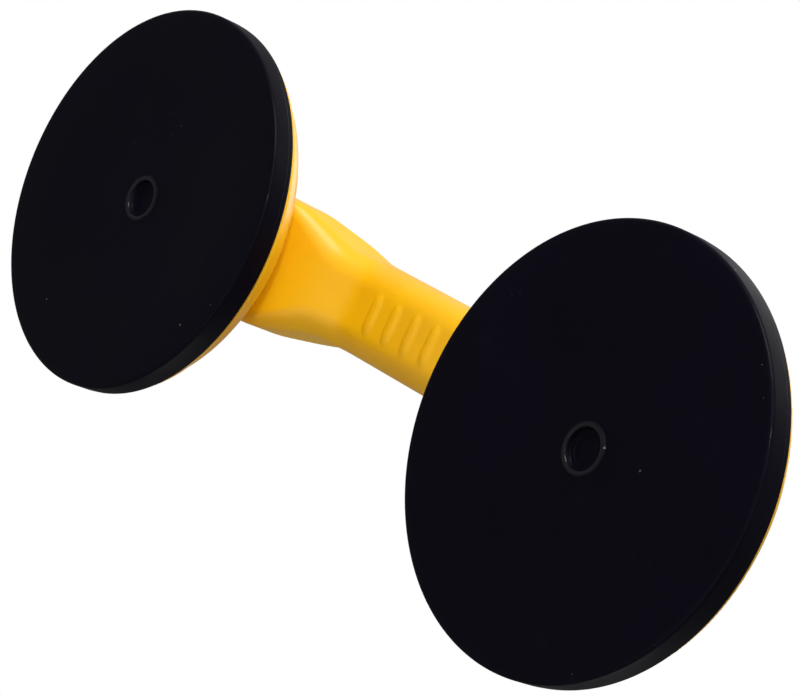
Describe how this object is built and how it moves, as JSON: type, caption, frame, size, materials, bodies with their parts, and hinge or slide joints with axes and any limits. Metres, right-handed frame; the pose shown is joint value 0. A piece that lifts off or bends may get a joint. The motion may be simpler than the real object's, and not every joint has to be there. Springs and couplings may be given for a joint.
{
  "type": "vacuum suction cup lifter",
  "caption": "Twin rubber suction cups under domed housings, joined by a raised grip handle, with a folding cam lever over each cup that draws the pad up to hold.",
  "frame": {"origin": "on the plane of the pads' sealing faces, midway between the two cups", "axes": "+X along the handle from the left cup to the right cup, +Z away from the sealing faces towards the grip"},
  "size_m": [0.3246, 0.118, 0.061],
  "materials": {
    "yellow_plastic": "moulded yellow ABS, semi-gloss with a fine texture",
    "pad_rubber": "near-black moulded rubber, satin",
    "black_plastic": "black glass-filled nylon, satin",
    "zinc_steel": "zinc-plated steel",
    "spring_steel": "oil-blacked spring steel"
  },
  "bodies": {
    "handle": {"handle_body": "yellow_plastic", "grip_cover": "yellow_plastic", "cover_screw_left": "zinc_steel", "cover_screw_right": "zinc_steel", "slip_washer_left": "zinc_steel", "slip_washer_right": "zinc_steel", "rubber_pad_left": "pad_rubber", "rubber_pad_right": "pad_rubber"},
    "stud_left": {"core_disc_left": "zinc_steel", "pull_stud_left": "zinc_steel", "pivot_pin_left": "zinc_steel", "pin_ring_front_left": "spring_steel", "pin_ring_rear_left": "spring_steel"},
    "lever_left": {"cam_lever_left": "black_plastic"},
    "stud_right": {"core_disc_right": "zinc_steel", "pull_stud_right": "zinc_steel", "pivot_pin_right": "zinc_steel", "pin_ring_front_right": "spring_steel", "pin_ring_rear_right": "spring_steel"},
    "lever_right": {"cam_lever_right": "black_plastic"}
  },
  "joints": [
    {"name": "stud_slide_left", "type": "slide", "parent": "handle", "child": "stud_left", "axis": [0, 0, 1], "range_m": [-0.002, 0], "deforming": ["rubber_pad_left"]},
    {"name": "lever_hinge_left", "type": "hinge", "parent": "stud_left", "child": "lever_left", "pos_m": [-0.1033, 0, 0.0391], "axis": [0, -1, 0], "range_deg": [0, 100]},
    {"name": "stud_slide_right", "type": "slide", "parent": "handle", "child": "stud_right", "axis": [0, 0, 1], "range_m": [-0.002, 0], "deforming": ["rubber_pad_right"]},
    {"name": "lever_hinge_right", "type": "hinge", "parent": "stud_right", "child": "lever_right", "pos_m": [0.1033, 0, 0.0391], "axis": [0, 1, 0], "range_deg": [0, 100]}
  ],
  "couplings": [
    {"joint": "lever_hinge_left", "follows": "stud_slide_left", "rad_per_m": -872.66},
    {"joint": "lever_hinge_right", "follows": "stud_slide_right", "rad_per_m": -872.66}
  ]
}
